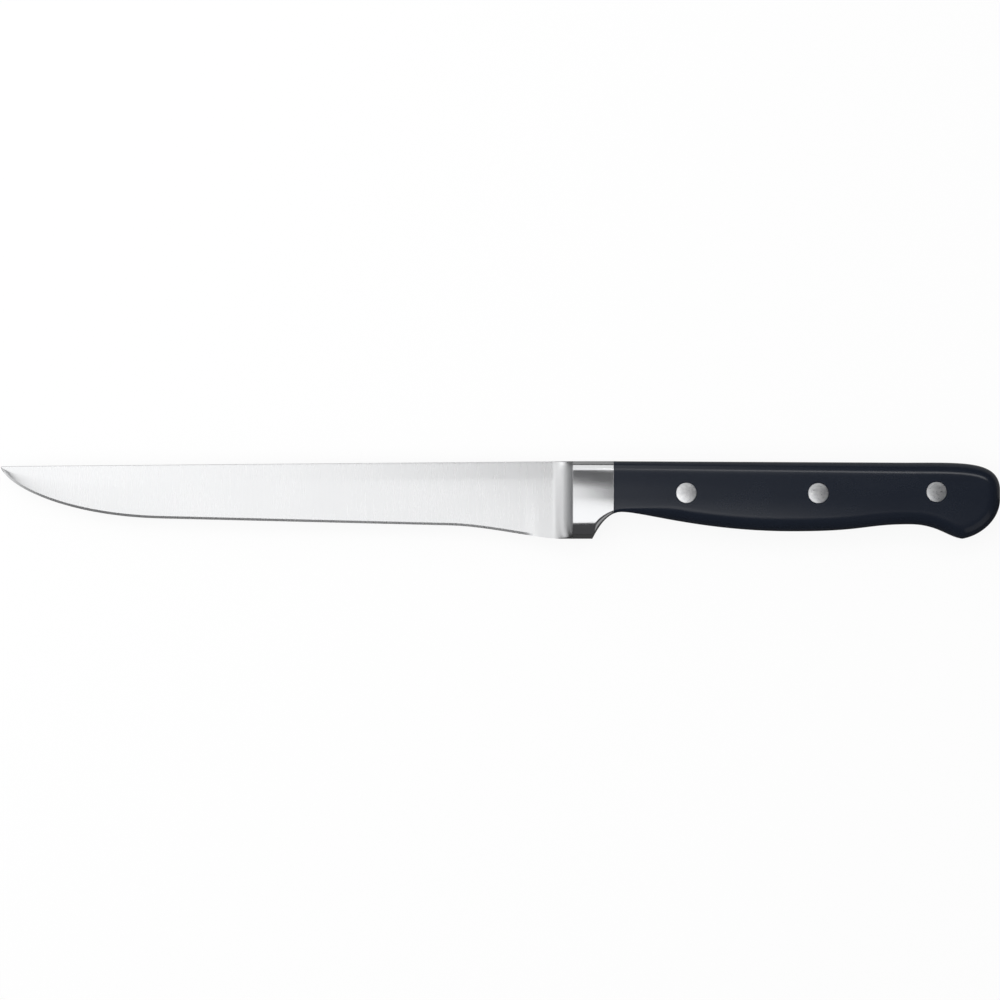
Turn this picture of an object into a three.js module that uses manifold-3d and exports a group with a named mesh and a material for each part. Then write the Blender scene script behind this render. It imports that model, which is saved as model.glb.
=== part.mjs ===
// A fillet knife: one forging that is blade, bolster and full tang, two grip scales, three cutler's rivets.
// It lies on its right cheek on the plane Z = 0, with the tip towards -X, the spine towards +Y and the edge
// towards -Y. Sizes are millimetres. Inside the group X starts at the bolster's front face, Z at the middle
// of the thickness, and depths run down (-Y) from the straight line of the spine and the grip's back.

import * as THREE from "three";
import { mergeVertices } from "three/addons/utils/BufferGeometryUtils.js";
import Module from "manifold-3d";

// Blade outline. A pull is how far a curve keeps its starting or ending direction, as a share of the distance
// between its ends.
const BLADE_LENGTH = 180; // tip to the bolster's front face
const TIP_DROP = 1.6; // the spine falls this far from the bolster to the tip
const TIP_NOSE = 0.25; // height of the rounded-off point
const TIP_ANGLE = 74; // degrees between spine and edge at the point
const TIP_PULL = 0.112;
const BELLY_OFFSET = 50.3; // tip to where the edge runs straight
const BELLY_DEPTH = 18;
const BELLY_PULL = 0.578;
const HEEL_OFFSET = 38.6; // bolster to where the edge starts to sweep down
const HEEL_DEPTH = 20.2;
const HEEL_PULL = 0.351;
const HEEL_FLAT = 3.2; // the sweep ends this far before the bolster
const HEEL_FLAT_PULL = 0.227;

// Blade section
const SPINE_HEEL_THICKNESS = 2.2;
const SPINE_TIP_THICKNESS = 0.9;
const SPINE_CHAMFER = 0.2;
const FLAT_WIDTH = 5.3; // unground strip below the spine
const SHOULDER_THICKNESS = 0.5; // behind the sharpened bevel
const EDGE_BEVEL = 0.8; // height of the sharpened bevel
const EDGE_LAND = 0.06;
const RICASSO_LENGTH = 10.5; // unsharpened stretch in front of the bolster
const RICASSO_RUNOUT = 5; // the bevel fades out over this length
const RICASSO_THICKNESS = 0.7; // along the underside of that stretch
const COVE_RADIUS = 6.1; // hollow between the blade's sides and the bolster

// Near the point these heights of the section are limited to a share of the blade's height there.
const CHAMFER_SHARE = 0.15;
const BACK_SHARE = 0.25;
const FLAT_SHARE = 0.4;
const LOWER_SHARE = 0.33;
const BEVEL_SHARE = 0.25;

// Bolster
const BOLSTER_LENGTH = 12.9;
const BOLSTER_FRONT_THICKNESS = 15;
const GUARD_LENGTH = 6.3; // flat underside in front of the finger hollow
const GUARD_DEPTH = 24.4; // depth of the guard, and of the beak that is level with it
const CHOIL_ANGLE = 64.4; // degrees, slope of the finger hollow where it leaves the guard
const BACK_ROUND = 3; // rounding between back and cheeks at the bolster
const GUARD_ROUND = 4.6; // the guard's end is rounded off this far into the thickness,
const GUARD_REACH = 6; // from this far up the cheeks
const CORNER_ROUND = 2; // rounding between the finger hollow and the cheeks where it leaves the guard,
const CHOIL_ROUND = 1.1; // and where it meets the grip
const CORNER_POWER = 3; // the lower it is, the softer guard and hollow run into each other

// Grip outline. Offsets are measured back from the bolster's rear face.
const GRIP_LENGTH = 121.6;
const GRIP_THICKNESS = 15.2;
const TANG_THICKNESS = 3;
const NECK_OFFSET = 2.4;
const NECK_DEPTH = 15.95;
const NECK_PULL = 0.138;
const SWELL_OFFSET = 56.6;
const SWELL_DEPTH = 22.05;
const SWELL_FRONT_PULL = 0.532;
const SWELL_REAR_PULL = 0.626;
const WAIST_TO_BUTT = 28.5;
const WAIST_DEPTH = 19.85;
const WAIST_FRONT_PULL = 0.386;
const WAIST_REAR_PULL = 0.537;
const BEAK_TO_BUTT = 11.8;
const BEAK_ANGLE = 10; // degrees, slope of the underside on both sides of the beak
const BEAK_FRONT_PULL = 0.283;
const BEAK_REAR_PULL = 0.345;
const BUTT_DEPTH = 10.6; // middle of the rearmost edge
const BUTT_FLAT = 2; // height of that edge
const BUTT_LOWER_PULL = 0.39;
const BUTT_UPPER_PULL = 0.315;
const CROWN_TO_BUTT = 30.4; // where the back starts to curve down to the butt
const CROWN_DEPTH = 0.45; // the back falls this far from the bolster to there
const CROWN_PULL = 0.63;
const BELLY_ROUND = 4.4; // rounding between underside and cheeks along the belly
const BELLY_RUN = 22; // it grows to that over this length behind the bolster
const BUTT_ROUND = 4.2; // the same rounding all round the butt
const CAMBER_RADIUS = 100; // the cheeks fall away to this radius above and below a flat strip
const STRIP_WIDTH = 3; // that strip, which runs along the rivets

// Cutler's rivets: a sleeve from the left and a pin from the right, heads flush with the cheeks
const FRONT_RIVET_OFFSET = 22.8;
const FRONT_RIVET_DEPTH = 9.95;
const MIDDLE_RIVET_OFFSET = 64.2;
const MIDDLE_RIVET_DEPTH = 10.05;
const REAR_RIVET_TO_BUTT = 20.3;
const REAR_RIVET_DEPTH = 9.65;
const RIVET_HEAD_DIAMETER = 6.4;
const RIVET_HEAD_HEIGHT = 1.6;
const SLEEVE_DIAMETER = 4;
const SLEEVE_BORE = 2.6;
const SLEEVE_GAP = 1.2; // between the sleeve's end and the pin's head
const PIN_GAP = 1; // between the pin's end and the floor of the bore
const PIN_CHAMFER = 0.3;
const HEAD_CLEARANCE = 0.05; // radial, head in its counterbore
const SHANK_CLEARANCE = 0.1; // radial, sleeve in the scales and the tang
const PIN_CLEARANCE = 0.05; // radial, pin in the sleeve

// Fineness of the surfaces
const TIP_STEPS = 22;
const HEEL_STEPS = 20;
const COVE_STEPS = 8;
const GUARD_STEPS = 3;
const CHOIL_STEPS = 9;
const GRIP_STEPS = 40;
const BUTT_STEPS = 14;
const ROUND_STEPS = 6;
const ROUND_REACH = 1.15; // how far in a rounding's points reach, in radii, so that the last is on the flat
const LEAST_FLAT = 0.2; // height left between the two roundings where the butt is low
const STRIP_SHARES = [0.2, 0.48, 0.52, 0.8]; // limits of the strip's edges, as shares of that height
const SLOPE_STEP = 0.01; // length over which an outline's slope is measured
const LINE_STEPS = 80; // points per curve where a distance to the outline is measured
const RIVET_SIDES = 32;

const wasm = await Module();
wasm.setup();

const { clamp, lerp, smoothstep, degToRad } = THREE.MathUtils;
const steps = (count, place) => Array.from({ length: count + 1 }, (_, i) => place(i / count));
const GRIP_END = BOLSTER_LENGTH + GRIP_LENGTH;

// Outline curves in (x, depth)

const at = (x, depth) => new THREE.Vector2(x, depth);
const slope = (degrees) => at(Math.cos(degToRad(degrees)), Math.sin(degToRad(degrees)));

function sweep(start, startPull, startAngle, end, endPull, endAngle) {
  const span = start.distanceTo(end);
  const leave = slope(startAngle).multiplyScalar(span * startPull).add(start);
  const arrive = slope(endAngle).multiplyScalar(-span * endPull).add(end);
  return new THREE.CubicBezierCurve(start, leave, arrive, end);
}

const tip = at(-BLADE_LENGTH, TIP_DROP + TIP_NOSE);
const belly = at(BELLY_OFFSET - BLADE_LENGTH, BELLY_DEPTH);
const heel = at(-HEEL_OFFSET, HEEL_DEPTH);
const heelFlat = at(-HEEL_FLAT, GUARD_DEPTH);
const guardFront = at(0, GUARD_DEPTH);
const edgeAngle = (Math.atan2(heel.y - belly.y, heel.x - belly.x) * 180) / Math.PI;
const tipCurve = sweep(tip, TIP_PULL, TIP_ANGLE, belly, BELLY_PULL, edgeAngle);
const edge = [
  tipCurve,
  new THREE.LineCurve(belly, heel),
  sweep(heel, HEEL_PULL, edgeAngle, heelFlat, HEEL_FLAT_PULL, 0),
  new THREE.LineCurve(heelFlat, guardFront),
];

const guardRear = at(GUARD_LENGTH, GUARD_DEPTH);
const neck = at(BOLSTER_LENGTH + NECK_OFFSET, NECK_DEPTH);
const hollow = at(GUARD_LENGTH + (GUARD_DEPTH - NECK_DEPTH) / Math.tan(degToRad(CHOIL_ANGLE)), NECK_DEPTH);
const swell = at(BOLSTER_LENGTH + SWELL_OFFSET, SWELL_DEPTH);
const waist = at(GRIP_END - WAIST_TO_BUTT, WAIST_DEPTH);
const beak = at(GRIP_END - BEAK_TO_BUTT, GUARD_DEPTH);
const buttLower = at(GRIP_END, BUTT_DEPTH + BUTT_FLAT / 2);
const underside = [
  new THREE.LineCurve(guardFront, guardRear),
  new THREE.QuadraticBezierCurve(guardRear, hollow, neck),
  sweep(neck, NECK_PULL, 0, swell, SWELL_FRONT_PULL, 0),
  sweep(swell, SWELL_REAR_PULL, 0, waist, WAIST_FRONT_PULL, 0),
  sweep(waist, WAIST_REAR_PULL, 0, beak, BEAK_FRONT_PULL, BEAK_ANGLE),
  sweep(beak, BEAK_REAR_PULL, -BEAK_ANGLE, buttLower, BUTT_LOWER_PULL, -90),
];

const crown = at(GRIP_END - CROWN_TO_BUTT, CROWN_DEPTH);
const buttUpper = at(GRIP_END, BUTT_DEPTH - BUTT_FLAT / 2);
const back = [
  new THREE.LineCurve(at(0, 0), at(BOLSTER_LENGTH, 0)),
  new THREE.LineCurve(at(BOLSTER_LENGTH, 0), crown),
  sweep(crown, CROWN_PULL, 0, buttUpper, BUTT_UPPER_PULL, 90),
];

// Every curve runs towards +X, so the depth at an x is found by halving.
function depthAt(curves, x) {
  const curve = curves.find((c) => c.getPoint(1).x >= x) ?? curves.at(-1);
  let low = 0;
  let high = 1;
  for (let i = 0; i < 45; i++) {
    const middle = (low + high) / 2;
    if (curve.getPoint(middle).x < x) low = middle;
    else high = middle;
  }
  return curve.getPoint(high).y;
}

// Length of an outline per length of X, a little ahead of x.
function steepness(curves, x) {
  return Math.hypot(1, (depthAt(curves, x + SLOPE_STEP) - depthAt(curves, x)) / SLOPE_STEP);
}

const spineDepth = (x) => (TIP_DROP * Math.max(0, -x)) / BLADE_LENGTH;

// Thickness of bolster and grip

const polyline = (curves) => curves.flatMap((c) => c.getPoints(LINE_STEPS));
const backLine = polyline([...back, new THREE.LineCurve(buttUpper, buttLower)]);
const hollowLine = polyline(underside.slice(1));

function distanceTo(line, point) {
  let nearest = Infinity;
  for (let i = 1; i < line.length; i++) {
    const along = line[i].clone().sub(line[i - 1]);
    const offset = point.clone().sub(line[i - 1]);
    const share = clamp(offset.dot(along) / (along.lengthSq() || 1), 0, 1);
    nearest = Math.min(nearest, offset.addScaledVector(along, -share).length());
  }
  return nearest;
}

// How much a rounding takes off the cheek at a distance from the outline. Its reach is measured along the cheek
// and its drop through the thickness.
function roundOff(distance, { reach, drop }) {
  const inside = clamp(1 - distance / reach, 0, 1);
  return drop * (1 - Math.sqrt(1 - inside * inside));
}

// The bolster's cheeks flare out from its front to meet the grip.
const flareAt = (x) => Math.max(0, 1 - x / BOLSTER_LENGTH);
const cheekAt = (x) => lerp(GRIP_THICKNESS, BOLSTER_FRONT_THICKNESS, flareAt(x) ** 2) / 2;

// Roundings along the back, and along the finger hollow and the belly.
function backRoundAt(x) {
  const radius = lerp(BACK_ROUND, BUTT_ROUND, x / GRIP_END);
  return { reach: radius, drop: radius };
}

function hollowRoundAt(x) {
  const choil = lerp(CORNER_ROUND, CHOIL_ROUND, smoothstep(x, GUARD_LENGTH, BOLSTER_LENGTH));
  const grip = lerp(BELLY_ROUND, BUTT_ROUND, x / GRIP_END);
  const radius = lerp(choil, grip, smoothstep(x, BOLSTER_LENGTH, BOLSTER_LENGTH + BELLY_RUN));
  return { reach: radius, drop: radius };
}

// What the guard's end, which is rounded straight across the bolster, and the line behind it take off the cheek.
function undersideOff(x, depth, distance) {
  const guard = { reach: GUARD_REACH, drop: GUARD_ROUND };
  const fromGuard = x < BOLSTER_LENGTH ? roundOff(GUARD_DEPTH - depth, guard) : 0;
  const fromHollow = roundOff(distance, hollowRoundAt(x));
  return (fromGuard ** CORNER_POWER + fromHollow ** CORNER_POWER) ** (1 / CORNER_POWER);
}

// How much the camber takes off the cheek at a depth.
const stripTop = MIDDLE_RIVET_DEPTH - STRIP_WIDTH / 2;
const stripBottom = MIDDLE_RIVET_DEPTH + STRIP_WIDTH / 2;
const camberAt = (depth) => Math.max(0, stripTop - depth, depth - stripBottom) ** 2 / (2 * CAMBER_RADIUS);

function halfThickness(x, depth) {
  const point = at(x, depth);
  const fromBack = roundOff(distanceTo(backLine, point), backRoundAt(x));
  const fromUnderside = undersideOff(x, depth, distanceTo(hollowLine, point));
  return cheekAt(x) - camberAt(depth) - Math.max(fromBack, fromUnderside);
}

// Points of one cheek at station x: down the rounding of the back, over the camber and the strip, and down to
// the underside.
function cheekSection(x) {
  const top = depthAt(back, x);
  const bottom = depthAt(underside, x);
  const guardReach = x < BOLSTER_LENGTH ? bottom - GUARD_DEPTH + GUARD_REACH : 0;
  const undersideReach = Math.max(guardReach, hollowRoundAt(x).reach * steepness(underside, x));
  const reaches = [backRoundAt(x).reach * ROUND_REACH, undersideReach * ROUND_REACH];
  const fit = Math.min(1, (bottom - top - LEAST_FLAT) / (reaches[0] + reaches[1]));
  const inwards = steps(ROUND_STEPS, (t) => fit * (1 - Math.cos((t * Math.PI) / 2)));
  const upper = top + fit * reaches[0];
  const lower = bottom - fit * reaches[1];
  const limits = STRIP_SHARES.map((share) => lerp(upper, lower, share));
  const stripUpper = clamp(stripTop, limits[0], limits[1]);
  const stripLower = clamp(stripBottom, limits[2], limits[3]);
  const depths = [
    ...inwards.map((share) => top + share * reaches[0]),
    (upper + stripUpper) / 2,
    stripUpper,
    stripLower,
    (stripLower + lower) / 2,
    ...inwards.map((share) => bottom - share * reaches[1]).reverse(),
  ];
  const section = depths.map((depth) => [-depth, halfThickness(x, depth)]);
  section[0][1] = cheekAt(x) - camberAt(top) - backRoundAt(x).drop;
  const toHollow = x < GUARD_LENGTH ? distanceTo(hollowLine, at(x, bottom)) : 0;
  section.at(-1)[1] = cheekAt(x) - camberAt(bottom) - undersideOff(x, bottom, toHollow);
  return section;
}

// Solids

const mirrored = (section) => section.map(([y, z]) => [y, -z]).reverse();

// A closed skin through one section [[y, z], ...] per station. Each section runs down the left side first.
function loft(stations, sectionAt) {
  const sections = stations.map(sectionAt);
  const count = sections[0].length;
  const positions = stations.flatMap((x, k) => sections[k].flatMap(([y, z]) => [x, y, z]));
  const index = [];
  for (let k = 0; k + 1 < stations.length; k++) {
    for (let i = 0; i < count; i++) {
      const a = k * count + i;
      const b = k * count + ((i + 1) % count);
      index.push(a, b, b + count, a, b + count, a + count);
    }
  }
  const cap = (section) => THREE.ShapeUtils.triangulateShape(section.map(([y, z]) => at(y, z)), []);
  const last = (stations.length - 1) * count;
  for (const [a, b, c] of cap(sections[0])) index.push(a, c, b);
  for (const [a, b, c] of cap(sections.at(-1))) index.push(last + a, last + b, last + c);
  const geometry = new THREE.BufferGeometry();
  geometry.setAttribute("position", new THREE.Float32BufferAttribute(positions, 3));
  return geometry.setIndex(index);
}

function solidOf(geometry) {
  const bare = geometry.clone().deleteAttribute("normal").deleteAttribute("uv");
  const merged = mergeVertices(bare);
  const vertProperties = merged.getAttribute("position").array;
  const triVerts = new Uint32Array(merged.index.array);
  return new wasm.Manifold(new wasm.Mesh({ numProp: 3, vertProperties, triVerts }));
}

function meshOf(name, material, solid) {
  const { vertProperties, triVerts } = solid.getMesh();
  const geometry = new THREE.BufferGeometry();
  geometry.setAttribute("position", new THREE.BufferAttribute(vertProperties, 3));
  geometry.setIndex(new THREE.BufferAttribute(triVerts, 1));
  geometry.computeVertexNormals();
  const mesh = new THREE.Mesh(geometry, material);
  mesh.name = name;
  return mesh;
}

const rivets = [
  { name: "front", x: BOLSTER_LENGTH + FRONT_RIVET_OFFSET, depth: FRONT_RIVET_DEPTH },
  { name: "middle", x: BOLSTER_LENGTH + MIDDLE_RIVET_OFFSET, depth: MIDDLE_RIVET_DEPTH },
  { name: "rear", x: GRIP_END - REAR_RIVET_TO_BUTT, depth: REAR_RIVET_DEPTH },
];
const CHEEK = GRIP_THICKNESS / 2;
const HEAD_SEAT = CHEEK - RIVET_HEAD_HEIGHT;

// A round cutter on a rivet's axis between two heights.
function hole(rivet, radius, from, to) {
  const cylinder = new THREE.CylinderGeometry(radius, radius, to - from, RIVET_SIDES).rotateX(Math.PI / 2);
  return solidOf(cylinder.translate(rivet.x, -rivet.depth, (from + to) / 2));
}

// A turned piece on a rivet's axis, from its profile in (radius, z).
function turned(rivet, profile) {
  const lathe = new THREE.LatheGeometry(profile, RIVET_SIDES).rotateX(Math.PI / 2);
  return solidOf(lathe.translate(rivet.x, -rivet.depth, 0));
}

const shankHole = SLEEVE_DIAMETER / 2 + SHANK_CLEARANCE;
const headHole = RIVET_HEAD_DIAMETER / 2 + HEAD_CLEARANCE;

// Forged blade, bolster and tang

// Blade section at x, one side from spine to edge. Near the point every height shrinks with the blade.
function bladeSide(x) {
  const onBlade = Math.min(x, 0);
  const top = spineDepth(x);
  const bottom = depthAt(edge, onBlade);
  const height = bottom - top;
  const spine = lerp(SPINE_HEEL_THICKNESS, SPINE_TIP_THICKNESS, -onBlade / BLADE_LENGTH) / 2;
  const blunt = smoothstep(x, -RICASSO_LENGTH - RICASSO_RUNOUT, -RICASSO_LENGTH);
  const land = lerp(EDGE_LAND, RICASSO_THICKNESS, blunt) / 2;
  const chamfer = Math.min(SPINE_CHAMFER, CHAMFER_SHARE * height);
  const upper = Math.min(BACK_ROUND, BACK_SHARE * height);
  const flat = Math.min(FLAT_WIDTH, FLAT_SHARE * height);
  const lower = Math.min(GUARD_REACH, LOWER_SHARE * height);
  const bevel = Math.min(EDGE_BEVEL, BEVEL_SHARE * height);
  const unsharpened = lerp(RICASSO_THICKNESS, 2 * spine, bevel / (height - flat));
  const shoulder = lerp(SHOULDER_THICKNESS, unsharpened, blunt) / 2;
  const taper = (height - lower - flat) / (height - bevel - flat);
  const side = [
    [top, spine - chamfer],
    [top + chamfer, spine],
    [top + upper, spine],
    [top + flat, spine],
    [bottom - lower, lerp(spine, shoulder, taper)],
    [bottom - bevel, shoulder],
    [bottom, land],
  ];
  const reach = clamp(1 + x / COVE_RADIUS, 0, 1);
  const rise = 1 - Math.sqrt(1 - reach * reach);
  const share = (rise * 2 * COVE_RADIUS) / (BOLSTER_FRONT_THICKNESS - SPINE_HEEL_THICKNESS);
  return side.map(([depth, half]) => [-depth, lerp(half, halfThickness(0, depth), share)]);
}

function forgedBlade() {
  const bladeStations = [
    ...steps(TIP_STEPS, (t) => tipCurve.getPoint(t).x),
    ...steps(HEEL_STEPS, (t) => lerp(-HEEL_OFFSET, -COVE_RADIUS, t)),
    ...steps(COVE_STEPS, (t) => COVE_RADIUS * (Math.sin((t * Math.PI) / 2) - 1)).slice(1),
    GUARD_LENGTH / 2,
  ];
  const blade = loft(bladeStations, (x) => [...bladeSide(x), ...mirrored(bladeSide(x))]);

  const bolsterStations = [
    ...steps(GUARD_STEPS, (t) => t * GUARD_LENGTH),
    ...steps(CHOIL_STEPS, (t) => lerp(GUARD_LENGTH, BOLSTER_LENGTH, t)).slice(1),
  ];
  const bolster = loft(bolsterStations, (x) => [...cheekSection(x), ...mirrored(cheekSection(x))]);

  const outline = [
    ...gripStations.map((x) => at(x, -depthAt(back, x))),
    ...gripStations.map((x) => at(x, -depthAt(underside, x))).reverse(),
  ];
  const plate = { depth: TANG_THICKNESS, bevelEnabled: false };
  const tang = new THREE.ExtrudeGeometry(new THREE.Shape(outline), plate);
  tang.translate(0, 0, -TANG_THICKNESS / 2);

  const forging = solidOf(blade).add(solidOf(bolster)).add(solidOf(tang));
  return rivets.reduce((solid, rivet) => solid.subtract(hole(rivet, shankHole, -CHEEK, CHEEK)), forging);
}

// Grip scales, one on each side of the tang, with a counterbore for each rivet head

const gripStations = [
  ...steps(GRIP_STEPS, (t) => lerp(BOLSTER_LENGTH, beak.x, t)),
  ...steps(BUTT_STEPS, (t) => lerp(beak.x, GRIP_END, Math.sin((t * Math.PI) / 2))).slice(1),
];

function scale(isLeft) {
  const section = (x) => {
    const cheek = cheekSection(x);
    const inner = TANG_THICKNESS / 2;
    const half = [[cheek[0][0], inner], ...cheek, [cheek.at(-1)[0], inner]];
    return isLeft ? half : mirrored(half);
  };
  const side = isLeft ? 1 : -1;
  const between = (rivet, radius, from, to) =>
    hole(rivet, radius, Math.min(side * from, side * to), Math.max(side * from, side * to));
  return rivets.reduce(
    (solid, rivet) =>
      solid
        .subtract(between(rivet, shankHole, 0, CHEEK))
        .subtract(between(rivet, headHole, HEAD_SEAT, GRIP_THICKNESS)),
    solidOf(loft(gripStations, section)),
  );
}

// Rivet halves

function rivetSleeve(rivet) {
  const end = -HEAD_SEAT + SLEEVE_GAP;
  return turned(rivet, [
    at(0, HEAD_SEAT),
    at(SLEEVE_BORE / 2, HEAD_SEAT),
    at(SLEEVE_BORE / 2, end),
    at(SLEEVE_DIAMETER / 2, end),
    at(SLEEVE_DIAMETER / 2, HEAD_SEAT),
    at(RIVET_HEAD_DIAMETER / 2, HEAD_SEAT),
    at(RIVET_HEAD_DIAMETER / 2, CHEEK),
    at(0, CHEEK),
  ]);
}

function rivetPin(rivet) {
  const radius = SLEEVE_BORE / 2 - PIN_CLEARANCE;
  const end = HEAD_SEAT - PIN_GAP;
  return turned(rivet, [
    at(0, -CHEEK),
    at(RIVET_HEAD_DIAMETER / 2, -CHEEK),
    at(RIVET_HEAD_DIAMETER / 2, -HEAD_SEAT),
    at(radius, -HEAD_SEAT),
    at(radius, end - PIN_CHAMFER),
    at(radius - PIN_CHAMFER, end),
    at(0, end),
  ]);
}

const bladeSteel = new THREE.MeshStandardMaterial({ color: 0xd6d8da, roughness: 0.28, metalness: 1 });
const gripPlastic = new THREE.MeshStandardMaterial({ color: 0x23282e, roughness: 0.42, metalness: 0 });
const rivetSteel = new THREE.MeshStandardMaterial({ color: 0xc2c5c8, roughness: 0.35, metalness: 1 });

const knife = new THREE.Group();
knife.add(meshOf("forged_blade", bladeSteel, forgedBlade()));
knife.add(meshOf("left_scale", gripPlastic, scale(true)));
knife.add(meshOf("right_scale", gripPlastic, scale(false)));
for (const rivet of rivets) {
  knife.add(meshOf(`${rivet.name}_rivet_sleeve`, rivetSteel, rivetSleeve(rivet)));
  knife.add(meshOf(`${rivet.name}_rivet_pin`, rivetSteel, rivetPin(rivet)));
}
knife.position.set((BLADE_LENGTH - GRIP_END) / 2, GUARD_DEPTH / 2, CHEEK);

const part = new THREE.Group();
part.add(knife);

export default part;
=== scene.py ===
import math

import bmesh
import bpy
import numpy as np
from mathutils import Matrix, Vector
from mathutils.geometry import interpolate_bezier


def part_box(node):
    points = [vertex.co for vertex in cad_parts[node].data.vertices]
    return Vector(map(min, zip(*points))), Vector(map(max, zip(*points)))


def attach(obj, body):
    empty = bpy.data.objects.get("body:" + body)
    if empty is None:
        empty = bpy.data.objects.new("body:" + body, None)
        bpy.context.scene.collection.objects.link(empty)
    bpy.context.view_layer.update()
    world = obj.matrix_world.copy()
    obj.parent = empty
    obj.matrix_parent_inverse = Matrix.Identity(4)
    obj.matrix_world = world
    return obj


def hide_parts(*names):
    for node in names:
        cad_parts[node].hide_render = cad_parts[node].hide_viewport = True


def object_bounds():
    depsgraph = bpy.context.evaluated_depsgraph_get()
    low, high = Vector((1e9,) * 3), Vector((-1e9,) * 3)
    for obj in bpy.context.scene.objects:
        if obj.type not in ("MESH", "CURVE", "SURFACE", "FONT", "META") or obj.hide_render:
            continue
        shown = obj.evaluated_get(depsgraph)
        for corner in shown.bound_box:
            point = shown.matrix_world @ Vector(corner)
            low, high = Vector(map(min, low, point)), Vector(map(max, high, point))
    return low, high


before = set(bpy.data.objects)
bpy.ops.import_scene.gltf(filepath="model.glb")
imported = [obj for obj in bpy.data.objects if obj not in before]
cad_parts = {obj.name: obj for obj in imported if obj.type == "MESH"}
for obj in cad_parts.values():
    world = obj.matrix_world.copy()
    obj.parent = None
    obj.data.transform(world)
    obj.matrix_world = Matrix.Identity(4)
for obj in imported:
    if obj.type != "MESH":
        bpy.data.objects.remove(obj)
cad_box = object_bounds()

# The forging is blade, bolster and full tang in one piece of stainless steel. The blade is ground thin and
# brushed across, the hollow in front of the polished bolster is rougher, with painted shade darkening its
# colour towards the bolster, and the tang shows along the back and the belly of the grip, as the belt left
# it that ground it flush.
mm = 0.001
forging_low, forging_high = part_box("forged_blade")
scale_low, scale_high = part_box("left_scale")
bolster_length = 12.9 * mm
bolster_front_half = 7.5 * mm
front_x = scale_low.x - bolster_length
blade_length = front_x - forging_low.x
grip_end = forging_high.x - front_x
spine_y = forging_high.y
guard_depth = forging_high.y - forging_low.y
middle_z = (forging_low.z + forging_high.z) / 2
tang_half = scale_low.z - middle_z
cheek_half = scale_high.z - middle_z

# Outlines run towards +X. They are given as x behind the bolster's front face and depth below the spine.
curve_points = 160
touching = 1e-7


def sweep(start, start_pull, start_angle, end, end_pull, end_angle):
    """A curve's points. It leaves start and reaches end at these angles. Pulls are shares of its span."""
    start, end = Vector(start), Vector(end)
    span = (end - start).length
    leave, arrive = math.radians(start_angle), math.radians(end_angle)
    start_handle = start + span * start_pull * Vector((math.cos(leave), math.sin(leave)))
    end_handle = end - span * end_pull * Vector((math.cos(arrive), math.sin(arrive)))
    return interpolate_bezier(start, start_handle, end_handle, end, curve_points)


def outline(*runs):
    """One line through runs of points, with no point twice."""
    points = np.array([tuple(point) for run in runs for point in run])
    apart = np.linalg.norm(np.diff(points, axis=0), axis=1) > touching
    return points[np.concatenate([[True], apart])]


tip_drop = 1.6 * mm
tip = (-blade_length, tip_drop + 0.25 * mm)
belly = (50.3 * mm - blade_length, 18 * mm)
heel = (-38.6 * mm, 20.2 * mm)
heel_flat = (-3.2 * mm, guard_depth)
guard_front = (0, guard_depth)
edge_angle = math.degrees(math.atan2(heel[1] - belly[1], heel[0] - belly[0]))
edge_line = outline(
    sweep(tip, 0.112, 74, belly, 0.578, edge_angle),
    sweep(heel, 0.351, edge_angle, heel_flat, 0.227, 0),
    [guard_front],
)

guard_length = 6.3 * mm
guard_rear = (guard_length, guard_depth)
neck = (bolster_length + 2.4 * mm, 15.95 * mm)
swell = (bolster_length + 56.6 * mm, 22.05 * mm)
waist = (grip_end - 28.5 * mm, 19.85 * mm)
beak = (grip_end - 11.8 * mm, guard_depth)
butt_lower = (grip_end, 11.6 * mm)
hollow_line = outline(
    sweep(guard_rear, 0.506, -64.4, neck, 0.267, 0),
    sweep(neck, 0.138, 0, swell, 0.532, 0),
    sweep(swell, 0.626, 0, waist, 0.386, 0),
    sweep(waist, 0.537, 0, beak, 0.283, 10),
    sweep(beak, 0.345, -10, butt_lower, 0.39, -90),
)
underside_line = outline([guard_front], hollow_line)

crown = (grip_end - 30.4 * mm, 0.45 * mm)
butt_upper = (grip_end, 9.6 * mm)
back_line = outline(
    [(0, 0), (bolster_length, 0)],
    sweep(crown, 0.63, 0, butt_upper, 0.315, 90),
)
back_and_butt = outline(back_line, [butt_lower])

# Bolster and grip have cambered cheeks with a flat strip along the rivets, rounded off towards the outline.
# A rounding's reach is measured along the cheek and its drop through the thickness.
strip = (8.55 * mm, 11.55 * mm)
camber_radius = 100 * mm
back_rounds = (3 * mm, 4.2 * mm)
belly_rounds = (4.4 * mm, 4.2 * mm)
belly_run = 22 * mm
guard_reach = 6 * mm
guard_drop = 4.6 * mm
choil_rounds = (2 * mm, 1.1 * mm)
corner_power = 3
flare_power = 2


def blend(start, end, share):
    return start + (end - start) * share


def smooth(share):
    share = np.clip(share, 0, 1)
    return share * share * (3 - 2 * share)


def distance_to(line, points):
    """Distance of each point from a line."""
    along = np.diff(line, axis=0)
    offset = points[:, None] - line[:-1]
    share = np.clip((offset * along).sum(-1) / (along**2).sum(-1), 0, 1)
    return np.linalg.norm(offset - share[..., None] * along, axis=-1).min(1)


def round_off(distance, reach, drop):
    """How much a rounding takes off the cheek at a distance from the outline."""
    inside = np.clip(1 - distance / reach, 0, 1)
    return drop * (1 - np.sqrt(1 - inside**2))


def flare(x):
    """1 at the bolster's front face, and 0 from its rear on."""
    return max(0, 1 - x / bolster_length)


def back_round(x):
    """Radius of the rounding along the back and the butt."""
    return blend(*back_rounds, x / grip_end)


def hollow_round(x):
    """Radius of the rounding along the finger hollow and the belly."""
    choil = blend(*choil_rounds, smooth((x - guard_length) / (bolster_length - guard_length)))
    grip = blend(*belly_rounds, x / grip_end)
    return blend(choil, grip, smooth((x - bolster_length) / belly_run))


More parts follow.
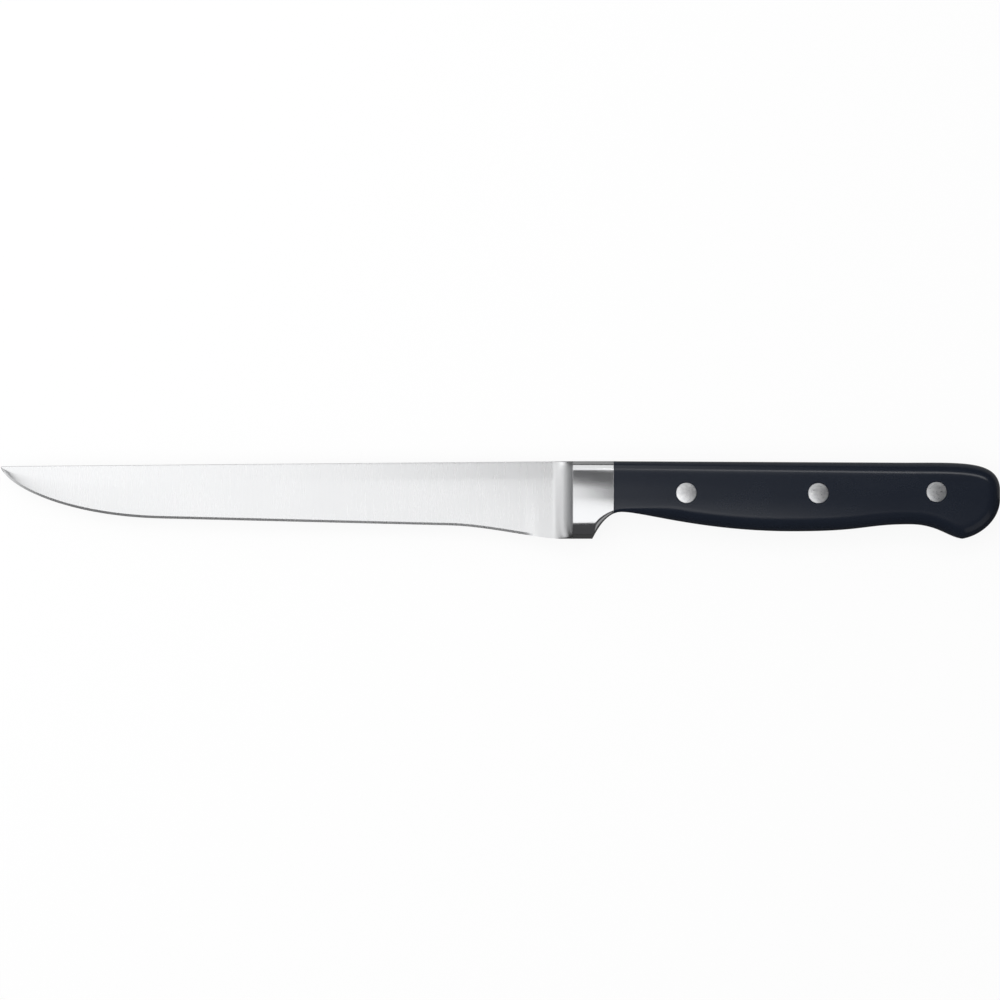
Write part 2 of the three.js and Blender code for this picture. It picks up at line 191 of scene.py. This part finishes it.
def underside_off(x, depths, distances):
    """What the roundings of the guard's end and of the line behind it take off the cheek."""
    radius = hollow_round(x)
    from_hollow = round_off(distances, radius, radius)
    from_guard = round_off(guard_depth - depths, guard_reach, guard_drop) * (x < bolster_length)
    return (from_guard**corner_power + from_hollow**corner_power) ** (1 / corner_power)


def camber(depths):
    """How far the cheek falls away from its flat strip."""
    return np.maximum(0, np.maximum(strip[0] - depths, depths - strip[1])) ** 2 / (2 * camber_radius)


def cheek_halves(x, depths):
    """Half thickness of bolster or grip at some depths of one section."""
    points = np.column_stack([np.full(len(depths), x), depths])
    to_back, to_hollow = distance_to(back_and_butt, points), distance_to(hollow_line, points)
    to_back[0] = 0
    if x >= guard_length:
        to_hollow[-1] = 0
    from_back = round_off(to_back, back_round(x), back_round(x))
    cheek = blend(cheek_half, bolster_front_half, flare(x) ** flare_power) - camber(depths)
    return cheek - np.maximum(from_back, underside_off(x, depths, to_hollow))


round_points = 14
cheek_points = 24
least_flat = 0.2 * mm
slope_span = 3 * mm
most_steep = 4


def steepness(line, x):
    """Length of an outline per length along the knife, around x."""
    rise = np.interp(x + slope_span / 2, *line.T) - np.interp(x - slope_span / 2, *line.T)
    return min(most_steep, math.hypot(1, rise / slope_span))


def cheek_depths(x):
    """Depths down one cheek, closest together in the roundings."""
    top, bottom = np.interp(x, *back_line.T), np.interp(x, *underside_line.T)
    guard = (bottom - guard_depth + guard_reach) * (x < bolster_length)
    underside = max(guard, hollow_round(x) * steepness(underside_line, x))
    reaches = back_round(x) * steepness(back_line, x), underside
    rounds = np.array(reaches) * min(1, (bottom - top - least_flat) / sum(reaches))
    turn = 1 - np.cos(np.linspace(0, math.pi / 2, round_points))
    cheek = np.linspace(top + rounds[0], bottom - rounds[1], cheek_points + 2)[1:-1]
    return np.concatenate([top + rounds[0] * turn, cheek, (bottom - rounds[1] * turn)[::-1]])


# The blade's section runs from the spine's broken corner over a flat strip and the ground face to the edge.
spine_halves = (1.1 * mm, 0.45 * mm)
spine_chamfer = 0.2 * mm
flat_width = 5.3 * mm
shoulder_half = 0.25 * mm
edge_bevel = 0.8 * mm
edge_half = 0.03 * mm
grind_bow = 1.3
ricasso_length = 10.5 * mm
ricasso_runout = 5 * mm
ricasso_half = 0.35 * mm
cove_radius = 6.1 * mm
chamfer_share, flat_share, bevel_share = 0.15, 0.4, 0.25
spine_points, flat_points, ground_points, bevel_points = 6, 12, 24, 10


def blade_side(x):
    """Depths and half thicknesses down one side of the blade, whose bands shrink towards the point."""
    top = tip_drop * -x / blade_length
    bottom = np.interp(x, *edge_line.T)
    height = bottom - top
    spine = blend(*spine_halves, -x / blade_length)
    blunt = smooth((x + ricasso_length + ricasso_runout) / ricasso_runout)
    land = blend(edge_half, ricasso_half, blunt)
    chamfer = min(spine_chamfer, chamfer_share * height)
    flat = top + min(flat_width, flat_share * height)
    bevel = bottom - min(edge_bevel, bevel_share * height)
    unsharpened = blend(ricasso_half, spine, (bottom - bevel) / (bottom - flat))
    shoulder = blend(shoulder_half, unsharpened, blunt)
    turn = np.linspace(0, math.pi / 2, spine_points, endpoint=False)
    ease = (1 - np.cos(np.linspace(0, math.pi, ground_points, endpoint=False))) / 2
    depths = [
        top + chamfer * (1 - np.cos(turn)),
        np.linspace(top + chamfer, flat, flat_points, endpoint=False),
        blend(flat, bevel, ease),
        np.linspace(bevel, bottom, bevel_points),
    ]
    halves = [
        spine - chamfer * (1 - np.sin(turn)),
        np.full(flat_points, spine),
        blend(spine, shoulder, ease**grind_bow),
        np.linspace(shoulder, land, bevel_points),
    ]
    return np.concatenate(depths), np.concatenate(halves)


def cove_side(x):
    """The blade's side where it hollows out towards the bolster's front."""
    depths, halves = blade_side(x)
    reach = 1 + x / cove_radius
    moved = blend(depths, cheek_depths(0), smooth(reach))
    rise = cove_radius * (1 - math.sqrt(1 - reach**2))
    share = rise / (bolster_front_half - spine_halves[0])
    return moved, blend(np.interp(moved, depths, halves), cheek_halves(0, moved), share)


def bolster_side(x):
    """One cheek of bolster or grip."""
    depths = cheek_depths(x)
    return depths, cheek_halves(x, depths)


def tang_side(x):
    """One face of the tang, whose points lie beside the cheek's."""
    depths = cheek_depths(x)
    return depths, np.full(len(depths), tang_half)


def place(x, depth, half):
    """Where a point of a section lies in the frame."""
    return Vector((front_x + x, spine_y - depth, middle_z + half))


def ring_round(x, side):
    """A section's points: down the left side, and up the right side."""
    depths, halves = side
    left = [place(x, depth, half) for depth, half in zip(depths, halves)]
    right = [place(x, depth, -half) for depth, half in zip(depths, halves)]
    return left + right[::-1]


sharp_angle = math.radians(30)


def finished(name, mesh, material):
    """An object for a mesh, with smooth surfaces between its sharp edges."""
    data = bpy.data.meshes.new(name)
    mesh.to_mesh(data)
    mesh.free()
    piece = bpy.data.objects.new(name, data)
    bpy.context.collection.objects.link(piece)
    data.materials.append(material)
    data.shade_smooth()
    data.set_sharp_from_angle(angle=sharp_angle)
    return piece


def skin(rings):
    """A closed skin over rings of points: a grid that is wrapped round them, sewn up and capped."""
    mesh = bmesh.new()
    around = len(rings[0])
    bmesh.ops.create_grid(mesh, x_segments=around, y_segments=len(rings) - 1, size=1)
    for number, vert in enumerate(mesh.verts):
        ring, spot = divmod(number, around + 1)
        vert.co = rings[ring][spot % around]
    bmesh.ops.remove_doubles(mesh, verts=mesh.verts, dist=touching)
    bmesh.ops.holes_fill(mesh, edges=[edge for edge in mesh.edges if edge.is_boundary])
    bmesh.ops.recalc_face_normals(mesh, faces=mesh.faces)
    return mesh


class Wire:
    """A node's output. Arithmetic on it adds Math nodes, and node() adds any other."""

    def __init__(self, socket):
        self.socket = socket

    def node(self, kind, sockets, output=0, **settings):
        """The output of a new node of this kind, whose sockets take these values or wires."""
        tree = self.socket.id_data
        made = tree.nodes.new("ShaderNode" + kind)
        for name, value in settings.items():
            setattr(made, name, value)
        for name, value in sockets.items():
            if isinstance(value, Wire):
                tree.links.new(value.socket, made.inputs[name])
            else:
                made.inputs[name].default_value = value
        return Wire(made.outputs[output])

    def math(self, operation, first, second):
        return self.node("Math", {0: first, 1: second}, operation=operation)

    def __add__(self, other):
        return self.math("ADD", self, other)

    def __sub__(self, other):
        return self.math("SUBTRACT", self, other)

    def __rsub__(self, other):
        return self.math("SUBTRACT", other, self)

    def __mul__(self, other):
        return self.math("MULTIPLY", self, other)

    __radd__ = __add__
    __rmul__ = __mul__

    def ramp(self, low, high):
        """0 below low, 1 above high and smooth between."""
        ends = {"Value": self, "From Min": low, "From Max": high}
        return self.node("MapRange", ends, interpolation_type="SMOOTHSTEP")

    def mix(self, first, second):
        """The first colour where this is 0 and the second where it is 1."""
        return self.node("Mix", {0: self, 6: first, 7: second}, output=2, data_type="RGBA")

    def grain(self, pitch, detail=2):
        """Noise from 0 to 1 on these coordinates, with a pitch for each axis."""
        stretch = [1 / size for size in pitch]
        spread = self.node("VectorMath", {0: self, 1: stretch}, operation="MULTIPLY")
        return self.node("TexNoise", {"Vector": spread, "Scale": 1, "Detail": detail})

    def bump(self, height):
        """A normal that is raised where this is high."""
        return self.node("Bump", {"Height": self, "Distance": height, "Strength": 1})


def material(name, metallic, look):
    """A material whose varying sockets come from look, a function of the piece's own coordinates."""
    made = bpy.data.materials.new(name)
    made.use_nodes = True
    tree = made.node_tree
    shader = tree.nodes["Principled BSDF"]
    shader.inputs["Metallic"].default_value = metallic
    spot = Wire(tree.nodes.new("ShaderNodeTexCoord").outputs["Object"])
    for socket, wire in look(spot).items():
        tree.links.new(wire.socket, shader.inputs[socket])
    return made


def forged_steel(spot):
    """Satin on the blade, rougher and darkened by painted shade in the hollow, polished on the bolster and
    belt-ground on the tang.
    """
    x = spot.node("SeparateXYZ", {0: spot})
    behind = x.ramp(scale_low.x - 0.1 * mm, scale_low.x)
    polish = x.ramp(front_x, front_x + 0.3 * mm) * (1 - behind)
    cove = x.ramp(front_x - cove_radius, front_x - 0.8 * cove_radius)
    # Painted shade: this mask darkens the colour in the corner where the blade meets the bolster's front
    # face.
    corner_shade_mask = x.ramp(front_x - 2.1 * mm, front_x - 0.5 * mm)
    across = spot.grain((0.16 * mm, 9 * mm, 3 * mm))
    streaks = spot.grain((1.1 * mm, 26 * mm, 9 * mm))
    along = spot.grain((6 * mm, 0.14 * mm, 0.14 * mm))
    smudge = spot.grain((21 * mm, 13 * mm, 13 * mm), 3)
    brushed = 0.22 + across * 0.04 + streaks * 0.04 + smudge * 0.04 + cove * 0.08
    polished = 0.1 + along * 0.04 + smudge * 0.04
    tone = across * 0.5 + streaks * 0.5
    # Painted shade: the colour darkens through the hollow, and most in its corner at the bolster's front
    # face.
    painted_cove_shade = (cove * 0.3 + corner_shade_mask * 0.7) * (1 - behind)
    satin_colour = tone.mix((0.74, 0.745, 0.75, 1), (0.8, 0.805, 0.81, 1))
    painted_shade_colour = (0.345, 0.348, 0.355, 1)
    bright_colour = along.mix((0.7, 0.705, 0.715, 1), (0.76, 0.765, 0.77, 1))
    lines = across * (1 - polish) + along * (0.35 * polish)
    return {
        "Base Color": polish.mix(painted_cove_shade.mix(satin_colour, painted_shade_colour), bright_colour),
        "Roughness": brushed + polish * (polished - brushed) + behind * 0.08,
        "Normal": lines.bump(0.0007 * mm),
    }


point_steps, edge_steps, heel_steps, cove_steps = 80, 50, 60, 28
guard_steps, choil_steps, grip_steps, butt_steps = 40, 50, 90, 36
point_crowding = 1.6
blade_stations = [
    *((belly[0] + blade_length) * np.linspace(0, 1, point_steps) ** point_crowding - blade_length),
    *np.linspace(belly[0], heel[0], edge_steps)[1:],
    *np.linspace(heel[0], -cove_radius, heel_steps)[1:-1],
]
cove_stations = cove_radius * (np.sin(np.linspace(0, math.pi / 2, cove_steps)) - 1)
bolster_stations = [
    *np.linspace(0, guard_length, guard_steps),
    *np.linspace(guard_length, bolster_length, choil_steps)[1:],
]
grip_stations = [
    *np.linspace(bolster_length, beak[0], grip_steps),
    *blend(beak[0], grip_end, np.sin(np.linspace(0, math.pi / 2, butt_steps)))[1:],
]
forging_rings = [
    *(ring_round(x, blade_side(x)) for x in blade_stations),
    *(ring_round(x, cove_side(x)) for x in cove_stations),
    *(ring_round(x, bolster_side(x)) for x in bolster_stations),
    *(ring_round(x, tang_side(x)) for x in grip_stations),
]
forging = finished("blade_bolster_tang", skin(forging_rings), material("forged_steel", 1, forged_steel))
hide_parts("forged_blade")
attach(forging, "root")

# The grip scales are two mirrored halves of black moulded plastic. They are riveted to the tang and ground
# flush with it and the bolster. Their inner corners are broken, which leaves a fine line along the steel.
broken_corner = 0.12 * mm
wall_points = 5


def scale_ring(x, side, inset):
    """One scale's section: from the tang's face up its back, over the cheek and down its underside."""
    depths, halves = bolster_side(x)
    depths = np.clip(depths, depths[0] + inset, depths[-1] - inset)
    halves = halves - inset
    inner = tang_half + broken_corner
    back = np.linspace(inner, halves[0], wall_points, endpoint=False)
    underside = np.linspace(halves[-1], inner, wall_points + 1)[1:]
    around = [
        (depths[0] + broken_corner, tang_half),
        *((depths[0], half) for half in back),
        *zip(depths, halves),
        *((depths[-1], half) for half in underside),
        (depths[-1] - broken_corner, tang_half),
    ]
    return [place(x, depth, side * half) for depth, half in around]


def moulded_plastic(spot):
    """Blue-black plastic with a fine pebble from the mould, rubbed smooth along the grip."""
    pebble = spot.grain((0.35 * mm, 0.35 * mm, 0.35 * mm), 3)
    rubbed = spot.grain((14 * mm, 0.3 * mm, 0.3 * mm))
    cloud = spot.grain((24 * mm, 9 * mm, 9 * mm), 4)
    tone = cloud * 0.7 + pebble * 0.3
    return {
        "Base Color": tone.mix((0.006, 0.009, 0.0165, 1), (0.0105, 0.0145, 0.024, 1)),
        "Roughness": 0.17 + cloud * 0.03 + rubbed * 0.03 + pebble * 0.03,
        "Normal": (pebble * 0.7 + rubbed * 0.3).bump(0.0015 * mm),
    }


grip_plastic = material("moulded_plastic", 0, moulded_plastic)
scales = {}
for name, side in (("left", 1), ("right", -1)):
    rings = [scale_ring(grip_stations[0], side, broken_corner)]
    rings += [scale_ring(x, side, 0) for x in (grip_stations[0] + broken_corner, *grip_stations[1:])]
    scales[name] = finished(name + "_grip", skin(rings), grip_plastic)
    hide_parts(name + "_scale")
    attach(scales[name], "root")

# Three cutler's rivets hold the grip together. Each is a tubular half from the left and a pin half from the
# right, turned from steel and pressed into each other, with heads that are ground flush with the cheeks.
turned_steps = 96
head_radius = 3.2 * mm
head_height = 1.6 * mm
head_corner = 0.08 * mm
head_dome = 0.16 * mm
shank_radius = 2 * mm
bore_radius = 1.3 * mm
pin_radius = 1.25 * mm
tube_gap = 1.2 * mm
pin_gap = 1 * mm
pin_chamfer = 0.3 * mm
head_clearance = 0.05 * mm
shank_clearance = 0.1 * mm
dome_points = 7
seat_half = cheek_half - head_height


def turned(mesh, centre, side, profile):
    """Adds a piece turned on a rivet's axis. Its (radius, half thickness) points begin and end on it."""
    points = [(centre.x + radius, centre.y, middle_z + side * half) for radius, half in profile]
    verts = [mesh.verts.new(point) for point in points]
    edges = [mesh.edges.new(pair) for pair in zip(verts, verts[1:])]
    bmesh.ops.spin(
        mesh,
        geom=verts + edges,
        cent=centre,
        axis=(0, 0, 1),
        angle=2 * math.pi,
        steps=turned_steps,
        use_merge=True,
    )
    bmesh.ops.remove_doubles(mesh, verts=mesh.verts, dist=touching)
    bmesh.ops.recalc_face_normals(mesh, faces=mesh.faces)


def drill(piece, side, profile):
    """Cuts a turned hole into a piece at every rivet."""
    mesh = bmesh.new()
    for centre in rivets.values():
        turned(mesh, centre, side, profile)
    cutter = finished("drill", mesh, grip_plastic)
    piece.modifiers.new("drill", "BOOLEAN").object = cutter
    bpy.context.view_layer.update()
    drilled = piece.evaluated_get(bpy.context.evaluated_depsgraph_get())
    solid = piece.data
    piece.data = bpy.data.meshes.new_from_object(drilled)
    piece.modifiers.clear()
    piece.data.name = piece.name
    piece.data.set_sharp_from_angle(angle=sharp_angle)
    bpy.data.meshes.remove(solid)
    bpy.data.meshes.remove(cutter.data)


def brushed_head(spot):
    """Blotched steel with the fine lines of the belt that ran along the grip."""
    along = spot.grain((3.5 * mm, 0.1 * mm, 0.1 * mm))
    blotch = spot.grain((1.2 * mm, 0.9 * mm, 0.9 * mm), 3)
    tone = along * 0.25 + blotch.ramp(0.3, 0.7) * 0.75
    return {
        "Base Color": tone.mix((0.78, 0.79, 0.805, 1), (0.98, 0.985, 0.99, 1)),
        "Roughness": 0.22 + along * 0.07 + blotch * 0.07,
        "Normal": along.bump(0.0008 * mm),
    }


sleeve_ending = "_rivet_sleeve"
rivets = {}
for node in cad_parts:
    if node.endswith(sleeve_ending):
        low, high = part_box(node)
        centre = Vector(((low.x + high.x) / 2, (low.y + high.y) / 2, 0))
        rivets[node.removesuffix(sleeve_ending)] = centre

hole = shank_radius + shank_clearance
sink = head_radius + head_clearance
through = [(0, -cheek_half), (hole, -cheek_half), (hole, cheek_half), (0, cheek_half)]
beyond = 2 * cheek_half
stepped = [(0, 0), (hole, 0), (hole, seat_half), (sink, seat_half), (sink, beyond), (0, beyond)]
drill(forging, 1, through)
drill(scales["left"], 1, stepped)
drill(scales["right"], -1, stepped)

crest = [
    (radius, cheek_half - head_dome * (radius / head_radius) ** 2)
    for radius in np.linspace(0, head_radius - head_corner, dome_points)
]
head = [*crest, (head_radius, crest[-1][1] - head_corner), (head_radius, seat_half)]
tube_end = tube_gap - seat_half
tube = [
    *head,
    (shank_radius, seat_half),
    (shank_radius, tube_end),
    (bore_radius, tube_end),
    (bore_radius, seat_half),
    (0, seat_half),
]
pin_end = pin_gap - seat_half
pin = [
    *head,
    (pin_radius, seat_half),
    (pin_radius, pin_end + pin_chamfer),
    (pin_radius - pin_chamfer, pin_end),
    (0, pin_end),
]
rivet_steel = material("brushed_rivet_steel", 1, brushed_head)
for name, centre in rivets.items():
    for half, node, side, profile in (("tube", "sleeve", 1, tube), ("stud", "pin", -1, pin)):
        mesh = bmesh.new()
        turned(mesh, centre, side, profile)
        rivet = finished(f"{name}_rivet_{half}", mesh, rivet_steel)
        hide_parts(f"{name}_rivet_{node}")
        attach(rivet, "root")

# The stage is a plain white table that looks white to the camera and in reflections, and takes the knife's
# shadow. Softboxes hang over the blade and stand round the knife, a fill lamp lights what is matt, and two
# cards that lie beside the knife darken the rims of its steel.
table_gap = 0.05 * mm
table_z = cad_box[0].z - table_gap
table_reach = 4


def flat_sheet(name, half_width, half_height, centre, sheet_material):
    """A flat rectangle that belongs to the studio."""
    mesh = bmesh.new()
    bmesh.ops.create_grid(mesh, x_segments=1, y_segments=1, size=1)
    bmesh.ops.scale(mesh, verts=mesh.verts, vec=(half_width, half_height, 1))
    bmesh.ops.translate(mesh, verts=mesh.verts, vec=centre)
    sheet = finished(name, mesh, sheet_material)
    return sheet


def matt(name, grey):
    """Paper of one grey that shows no gloss."""
    paper = bpy.data.materials.new(name)
    paper.use_nodes = True
    shader = paper.node_tree.nodes["Principled BSDF"]
    shader.inputs["Base Color"].default_value = (grey, grey, grey, 1)
    shader.inputs["Roughness"].default_value = 0.9
    shader.inputs["Specular IOR Level"].default_value = 0
    return paper


lit_share = 0.9
white = matt("white_table", 0.9)
nodes, links = white.node_tree.nodes, white.node_tree.links
ray = nodes.new("ShaderNodeLightPath")
camera_ray = Wire(ray.outputs["Is Camera Ray"])
seen = camera_ray + Wire(ray.outputs["Is Glossy Ray"]) + Wire(ray.outputs["Is Transmission Ray"])
glow = nodes.new("ShaderNodeEmission")
both = nodes.new("ShaderNodeMixShader")
links.new((seen * lit_share).socket, both.inputs["Fac"])
links.new(nodes["Principled BSDF"].outputs["BSDF"], both.inputs[1])
links.new(glow.outputs["Emission"], both.inputs[2])
links.new(both.outputs["Shader"], nodes["Material Output"].inputs["Surface"])
flat_sheet("table", table_reach, table_reach, (0, 0, table_z), white)

card_half = 2
card_lift = 0.02 * mm
for name, side, grey in (("front_card", -1, 0.06), ("back_card", 1, 0.3)):
    centre = (0, side * card_half, table_z + card_lift)
    card = flat_sheet(name, 2 * card_half, card_half, centre, matt(name, grey))
    card.visible_camera = False
    card.visible_diffuse = False
    card.visible_shadow = False


def softbox(name, centre, width, height, turn, brightness):
    """A rectangular lamp, turned to the knife by these degrees. At a brightness of 1 it looks white."""
    lamp = bpy.data.lights.new(name, "AREA")
    lamp.shape = "RECTANGLE"
    lamp.size, lamp.size_y = width, height
    lamp.energy = brightness * math.pi * width * height
    holder = bpy.data.objects.new(name, lamp)
    holder.location = centre
    holder.rotation_euler = [math.radians(angle) for angle in turn]
    holder.visible_camera = False
    bpy.context.collection.objects.link(holder)
    return holder


softbox("overhead_box", (-0.24, 0.042, 0.6), 0.79, 0.29, (0, 0, -40), 1.25)
softbox("back_box", (-0.36, 0.45, 0.41), 0.9, 0.7, (-48, 0, 0), 0.95)
softbox("blade_box", (-0.057, 0.16, 0.6), 0.11, 0.12, (0, 0, -40), 0.9)
softbox("back_glow", (0.095, 0.146, 0.633), 0.09, 0.115, (-13, 0, 0), 0.7)
softbox("back_strip", (0.24, 0.325, 0.563), 0.34, 0.137, (-30, 0, 0), 2.8)
softbox("end_box", (-0.6, -0.2, 0.54), 0.42, 1.2, (0, -48, 0), 0.8)
softbox("end_fill", (-0.86, -0.2, 0.28), 0.55, 1.2, (0, -72, 0), 0.6)
softbox("rear_box", (0.48, -0.48, 0.32), 0.45, 0.56, (65, 0, 45), 0.28)
fill = softbox("fill", (0, 0, 1.3), 1.6, 1.6, (0, 0, 0), 1.3)
fill.visible_glossy = False

surroundings = (0.07, 0.07, 0.073, 1)
world = bpy.data.worlds.new("studio")
world.use_nodes = True
world.node_tree.nodes["Background"].inputs["Color"].default_value = surroundings
bpy.context.scene.world = world

# The camera looks straight down on the left side of the knife through a long lens, and the knife fills its
# frame from point to butt.
frame_width = 0.315
camera = bpy.data.cameras.new("camera")
camera.lens = 200
distance = frame_width * camera.lens / camera.sensor_width
viewer = bpy.data.objects.new("camera", camera)
viewer.location = (0, 0, middle_z + distance)
bpy.context.collection.objects.link(viewer)
bpy.context.scene.camera = viewer
bpy.context.scene.view_settings.view_transform = "Standard"
